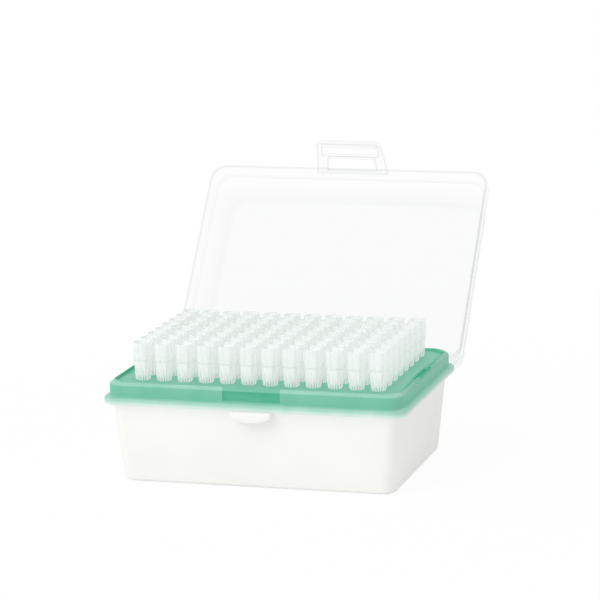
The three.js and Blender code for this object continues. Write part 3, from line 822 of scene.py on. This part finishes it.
def lid_shell():
    """The inside profile from the roof down, round the foot, and up the outside to the roof.

    The strength of the painted grey line is that of the bends along the profile, and a grey is
    added to it that grows up the wall, from nothing at the band to its full strength just under the
    roof.
    """
    corners = [  # inset, height, radius of the bend, strength of its line
        (ROOF_EDGE, lid_height - LID_WALL, 0.0, 0.0),
        (LID_WALL + WALL_END + ROOF_DRAWN_IN, lid_height - LID_WALL, ROOF_ROUND, 0.03),
        (LID_WALL + WALL_START, BAND_TOP - LID_WALL, 0.4, 0.16),
        (LID_WALL + BAND_DRAWN_IN, BAND_TOP - LID_WALL, 0.4, 0.05),
        (LID_WALL, 0.0, 0.25, 0.20),
        (0.0, 0.0, 0.25, 0.20),
        (BAND_DRAWN_IN, BAND_TOP, 0.6, 0.05),
        (WALL_START, BAND_TOP, 0.4, 0.12),
        (WALL_END + ROOF_DRAWN_IN, lid_height, ROOF_ROUND, 0.02),
        (ROOF_EDGE, lid_height, 0.0, 0.0)]
    profile = soften([corner[:3] for corner in corners])
    t = np.linspace(0.0, 1.0, 5)
    strength = np.array([corner[3] for corner in corners[1:-1]])
    bends = np.outer(strength, 4 * t * (1 - t))
    bends[3], bends[4] = strength[3] * t, strength[4] * (1 - t)  # full all across the flat rim
    line = np.concatenate([[0.0], bends.ravel(), [0.0]])
    profile[:, 1] += lid_foot
    sides = np.linspace(-46.0, 46.0, 5), np.linspace(-29.0, 29.0, 5)
    grid = carried(profile, flange_half, DECK_CORNER, *sides)
    from_to = lid_foot + np.array([BAND_TOP, lid_height - FULL_GREY_DROP])
    roof_grey = ROOF_GREY * np.interp(grid[:, :, 2], from_to, [0, 1])
    return shell(grid), (line[:, None] + roof_grey).ravel()


WAY_IN, RING_HALF = -60.0, 130.0  # where the ring is open, and how far it runs to each side


def knuckle(x):
    """A ring left open towards the pin's way in, and the gusset that ties it to the back wall."""
    start, end = WAY_IN + 180.0 - RING_HALF, WAY_IN + 180.0 + RING_HALF
    outer = arc(KNUCKLE_RADIUS, start, end, 28, (hinge_y, hinge_z))
    inner = arc(PIN_RADIUS + FIT, end, start, 28, (hinge_y, hinge_z))
    wall = flange_half[1] - LID_WALL / 2
    gusset = np.array([(wall, lid_foot), (hinge_y - 1.36, lid_foot), (hinge_y, hinge_z + 1.95),
                       (wall, lid_foot + KNUCKLE_RADIUS)])
    ends = (x - KNUCKLE_HALF, x + KNUCKLE_HALF)
    return [bar(np.vstack([outer, inner]), ends, 0.2), bar(gusset, ends, 0.2)]


lid_surface, lid_line = lid_shell()
lid_points, lid_faces = joined(lid_surface, *knuckle(hinge_x[0]), *knuckle(hinge_x[1]))
lid_points = swung(lid_points, -lid_open, np.array([0.0, hinge_y, hinge_z]))
# Painted grey line: the knuckles carry a line of 0.15 all over.
lid_line = np.append(lid_line, np.full(len(lid_points) - len(lid_line), 0.15))
lid_piece = make_piece("lid_shell", (lid_points, lid_faces), lid_material, sharp=35.0,
                       attributes={"line": lid_line})
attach(lid_piece, "lid")
lid_piece.visible_shadow = lid_piece.visible_diffuse = False
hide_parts("lid")

# %% [markdown]
# ## The latch
# The latch is a bowed plate with two windows, like a short ladder with wide sides. A grid of cells
# follows its outline and its windows, the cells inside the windows are left out, and side walls are
# put wherever a kept cell meets a gap. A bevel then rounds every edge.

# %% Latch frame
LATCH_HALF = box_of("latch")[1][0]
LATCH_TAPER, LATCH_THICK, LATCH_BOW, LATCH_ROUND = 1.7, 2.0, 1.5, 2.5
ROOT_BAR, MID_TOP, MID_FOOT, GRIP, LATCH_LENGTH = 1.6, 7.5, 9.0, 14.1, 17.2
WIDE_ARM, NARROW_ARM = 4.8, 2.2
ARM_CELLS, MIDDLE_CELLS = 4, 12  # cells across one arm, and across the windows
latch_y, latch_z = joint_at["latch_hinge"][1:]


def plate_faces(kept):
    """The faces of a plate: its kept cells in front and behind, and a wall beside each gap."""
    rows, columns = kept.shape[0] + 1, kept.shape[1] + 1
    a = np.arange(rows * columns).reshape(rows, columns)
    b = a + rows * columns
    faces = [np.stack([a[1:, :-1], a[1:, 1:], a[:-1, 1:], a[:-1, :-1]], 2)[kept],
             np.stack([b[:-1, :-1], b[:-1, 1:], b[1:, 1:], b[1:, :-1]], 2)[kept]]
    padded = np.pad(kept, 1)
    for shift, start, end in (((-1, 0), a[:-1, 1:], a[:-1, :-1]), ((1, 0), a[1:, :-1], a[1:, 1:]),
                              ((0, -1), a[:-1, :-1], a[1:, :-1]), ((0, 1), a[1:, 1:], a[:-1, 1:])):
        beyond = padded[1 + shift[0] : 1 + shift[0] + kept.shape[0],
                        1 + shift[1] : 1 + shift[1] + kept.shape[1]]
        open_side = kept & ~beyond
        start, end = start[open_side], end[open_side]
        faces.append(np.stack([end, start, start + rows * columns, end + rows * columns], 1))
    return faces


def latch_frame():
    """Points across = outline or window edge at each drop, on the arc y = c - sqrt(r^2 - d^2)."""
    bars = [(0.0, ROOT_BAR, 2), (ROOT_BAR, MID_TOP, 6), (MID_TOP, MID_FOOT, 2),
            (MID_FOOT, GRIP, 6), (GRIP, LATCH_LENGTH - LATCH_ROUND, 1)]
    turn = np.radians([0.0, 20.0, 42.0, 64.0, 90.0])
    drop = np.concatenate([np.linspace(a, b, n, endpoint=False) for a, b, n in bars]
                          + [LATCH_LENGTH - LATCH_ROUND * (1 - np.sin(turn))])
    outer = LATCH_HALF - LATCH_TAPER * drop / LATCH_LENGTH
    into = np.clip(drop - (LATCH_LENGTH - LATCH_ROUND), 0, LATCH_ROUND)
    rounded = outer - LATCH_ROUND + np.sqrt(np.maximum(LATCH_ROUND**2 - into**2, 0.0))
    window = outer - np.interp(drop, [MID_TOP, MID_FOOT, GRIP, LATCH_LENGTH],
                               [WIDE_ARM, NARROW_ARM, NARROW_ARM, WIDE_ARM])
    share = np.linspace(0.0, 1.0, ARM_CELLS + 1)[None]
    left = -rounded[:, None] + share * (rounded - window)[:, None]
    middle = np.linspace(-1.0, 1.0, MIDDLE_CELLS + 1)[None, 1:-1] * window[:, None]
    x = np.hstack([left, middle, -left[:, ::-1]])
    radius = (LATCH_LENGTH**2 / 4 + LATCH_BOW**2) / (2 * LATCH_BOW)
    from_middle = (drop - LATCH_LENGTH / 2)[:, None] + 0 * x
    depth = np.sqrt(radius**2 - from_middle**2)
    surface = np.stack([x, radius - LATCH_BOW - depth, -drop[:, None] + 0 * x], 2)
    normal = np.stack([0 * x, -depth, -from_middle], 2) / radius
    front, rear = (surface + side * LATCH_THICK / 2 * normal for side in (1, -1))
    columns = x.shape[1]
    cell_drop = (drop[1:] + drop[:-1]) / 2
    in_window = ((cell_drop > ROOT_BAR) & (cell_drop < MID_TOP)) | (
        (cell_drop > MID_FOOT) & (cell_drop < GRIP))
    across = np.arange(columns - 1)
    between_arms = (across >= ARM_CELLS) & (across < columns - 1 - ARM_CELLS)
    kept = ~(in_window[:, None] & between_arms[None])
    faces = plate_faces(kept)
    points = np.vstack([front.reshape(-1, 3), rear.reshape(-1, 3)])
    used, index = np.unique(np.concatenate([face.ravel() for face in faces]), return_inverse=True)
    ends = np.cumsum([face.size for face in faces])[:-1]
    faces = [part.reshape(-1, 4) for part in np.split(index.ravel(), ends)]
    return points[used], faces


LATCH_OUT = math.radians(22.0)
latch_points, latch_faces = latch_frame()
latch_points = swung(latch_points, -lid_open - LATCH_OUT, np.zeros(3))
latch_points = latch_points + np.array([0.0, latch_y, latch_z])
latch_piece = make_piece("latch_frame", (latch_points, latch_faces), latch_material, sharp=35.0)
bevel = latch_piece.modifiers.new("edge rounding", "BEVEL")
bevel.width, bevel.segments, bevel.angle_limit = 0.35 * MM, 2, math.radians(50)
latch_piece.data.materials.append(latch_side_material)
latch_piece.data.materials.append(latch_edge_material)
# The bevels take the strongest painted grey line.
bevel.material = 2
faces_of_plate = len(latch_faces[0]) + len(latch_faces[1])
on_side_wall = np.arange(len(latch_piece.data.polygons)) >= faces_of_plate
latch_piece.data.polygons.foreach_set("material_index", on_side_wall.astype(np.int32))
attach(latch_piece, "latch")
latch_piece.visible_shadow = latch_piece.visible_diffuse = False
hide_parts("latch")

# %% [markdown]
# ## Floor, light and background
# The box stands on a plain white floor under a bright, even sky, with one large soft lamp from the
# upper left. Seen directly, or in a mirror or through glass, the background is pure white. On the
# floor near the box only part of what is seen is that plain white, and the rest is the lit floor
# with its shadow.

# %% What sees the plain white


def seen_plainly(tree):
    """1 where a ray comes straight from the camera, off a mirror or through glass, else 0."""
    path = add(tree, "ShaderNodeLightPath")
    glossy = add(tree, "ShaderNodeMath", operation="MAXIMUM", _0=path.outputs["Is Camera Ray"],
                 _1=path.outputs["Is Glossy Ray"])
    seen = add(tree, "ShaderNodeMath", operation="MAXIMUM", _0=glossy.outputs[0],
               _1=path.outputs["Is Transmission Ray"])
    return seen.outputs[0]


# %% Floor
FLOOR_SIZE, FLOOR_SUNK = 30.0, 0.0001  # in metres
SHADOW_NEAR, SHADOW_FAR = 0.12, 0.4  # metres from the point under the middle of the tub
PLAIN_NEAR, PLAIN_FAR = 0.9, 1.0  # the share of plain white there


def floor_material():
    material, tree, output = new_material("white_floor_board")
    place = add(tree, "ShaderNodeTexCoord").outputs["Object"]
    reach = add(tree, "ShaderNodeVectorMath", operation="LENGTH", _0=place)
    plain_share = add(tree, "ShaderNodeMapRange", Value=reach.outputs["Value"],
                      From_Min=SHADOW_NEAR, From_Max=SHADOW_FAR, To_Min=PLAIN_NEAR,
                      To_Max=PLAIN_FAR)
    share = add(tree, "ShaderNodeMath", operation="MULTIPLY", _0=seen_plainly(tree),
                _1=plain_share.outputs["Result"])
    lit = add(tree, "ShaderNodeBsdfDiffuse", Color=linear("#FAFAFA"))
    plain = add(tree, "ShaderNodeEmission", Color=(1.0, 1.0, 1.0, 1.0), Strength=1.0)
    both = add(tree, "ShaderNodeMixShader", _0=share.outputs[0], _1=lit.outputs[0],
               _2=plain.outputs[0])
    tree.links.new(both.outputs[0], output.inputs["Surface"])
    return material


floor_points = np.array([(-1, -1, 0), (1, -1, 0), (1, 1, 0), (-1, 1, 0)]) * FLOOR_SIZE / MM / 2
floor = make_piece("floor", (floor_points, [np.array([[0, 1, 2, 3]])]), floor_material())
floor.location.z = -FLOOR_SUNK

# %% Sky and lamp
SKY_LIGHT, PLAIN_WHITE = 0.83, 1.0
world = bpy.data.worlds.new("studio")
bpy.context.scene.world = world
world.use_nodes = True
sky = world.node_tree
sky.nodes.clear()
light = add(sky, "ShaderNodeBackground", Color=(1.0, 1.0, 1.0, 1.0), Strength=SKY_LIGHT)
plain = add(sky, "ShaderNodeBackground", Color=(1.0, 1.0, 1.0, 1.0), Strength=PLAIN_WHITE)
both = add(sky, "ShaderNodeMixShader", _0=seen_plainly(sky), _1=light.outputs[0],
           _2=plain.outputs[0])
add(sky, "ShaderNodeOutputWorld", Surface=both.outputs[0])


def soft_lamp(name, place, target, size, power):
    """A square area lamp that faces a target point."""
    lamp = bpy.data.objects.new(name, bpy.data.lights.new(name, "AREA"))
    lamp.data.size, lamp.data.energy = size, power
    lamp.location = place
    lamp.rotation_mode = "QUATERNION"
    lamp.rotation_quaternion = (Vector(place) - Vector(target)).to_track_quat("Z", "Y")
    bpy.context.scene.collection.objects.link(lamp)


LAMP_PLACE, LAMP_SIZE, LAMP_POWER = (-0.9, -1.3, 1.3), 1.2, 11.5  # metres, metres, watts
soft_lamp("window_lamp", LAMP_PLACE, (cad_low + cad_high) / 2, LAMP_SIZE, LAMP_POWER)
print("lit by a sky and one soft lamp")
